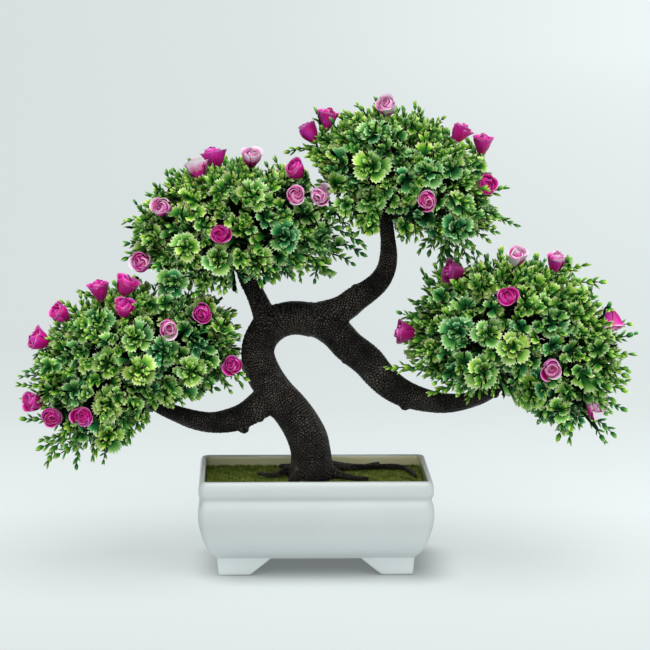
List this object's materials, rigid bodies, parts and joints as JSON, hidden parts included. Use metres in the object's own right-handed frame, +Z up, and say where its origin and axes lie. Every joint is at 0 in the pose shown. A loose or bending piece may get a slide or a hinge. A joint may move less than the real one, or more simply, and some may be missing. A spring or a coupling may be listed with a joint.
{
  "type": "artificial miniature rose bonsai",
  "caption": "Moulded miniature rose tree with toothed leaf sprays and rosebuds on a looping trunk, in a footed rectangular pot.",
  "frame": {"origin": "middle of the footprint, on the surface the pot stands on", "axes": "+X along the pot's length, +Y to its back, +Z up"},
  "size_m": [0.2594, 0.102, 0.203],
  "materials": {
    "pot_white": "smooth moulded gloss",
    "filler_grey": "rough cast",
    "moss_green": "flocked",
    "bark_brown": "scaly moulded relief, satin",
    "leaf_green": "two-tone satin",
    "bud_magenta": "soft matte petals"
  },
  "bodies": {
    "root": {"pot": "pot_white", "filler": "filler_grey", "moss_mat": "moss_green", "trunk": "bark_brown", "spray_left_low_1": "leaf_green", "spray_left_low_2": "leaf_green", "spray_left_low_3": "leaf_green", "spray_left_high_1": "leaf_green", "spray_left_high_2": "leaf_green", "spray_left_high_3": "leaf_green", "spray_top_1": "leaf_green", "spray_top_2": "leaf_green", "spray_top_3": "leaf_green", "spray_right_1": "leaf_green", "spray_right_2": "leaf_green", "spray_right_3": "leaf_green", "bud_01": "bud_magenta", "bud_02": "bud_magenta", "bud_03": "bud_magenta", "bud_04": "bud_magenta", "bud_05": "bud_magenta", "bud_06": "bud_magenta", "bud_07": "bud_magenta", "bud_08": "bud_magenta", "bud_09": "bud_magenta", "bud_10": "bud_magenta", "bud_11": "bud_magenta", "bud_12": "bud_magenta", "bud_13": "bud_magenta", "bud_14": "bud_magenta", "bud_15": "bud_magenta", "bud_16": "bud_magenta", "bud_17": "bud_magenta", "bud_18": "bud_magenta", "bud_19": "bud_magenta", "bud_20": "bud_magenta", "bud_21": "bud_magenta", "bud_22": "bud_magenta", "bud_23": "bud_magenta", "bud_24": "bud_magenta", "bud_25": "bud_magenta", "bud_26": "bud_magenta", "bud_27": "bud_magenta", "bud_28": "bud_magenta", "bud_29": "bud_magenta", "bud_30": "bud_magenta", "bud_31": "bud_magenta", "bud_32": "bud_magenta", "bud_33": "bud_magenta", "bud_34": "bud_magenta", "bud_35": "bud_magenta", "bud_36": "bud_magenta", "bud_37": "bud_magenta", "bud_38": "bud_magenta", "bud_39": "bud_magenta", "bud_40": "bud_magenta", "bud_41": "bud_magenta", "bud_42": "bud_magenta", "bud_43": "bud_magenta", "bud_44": "bud_magenta"}
  },
  "joints": []
}
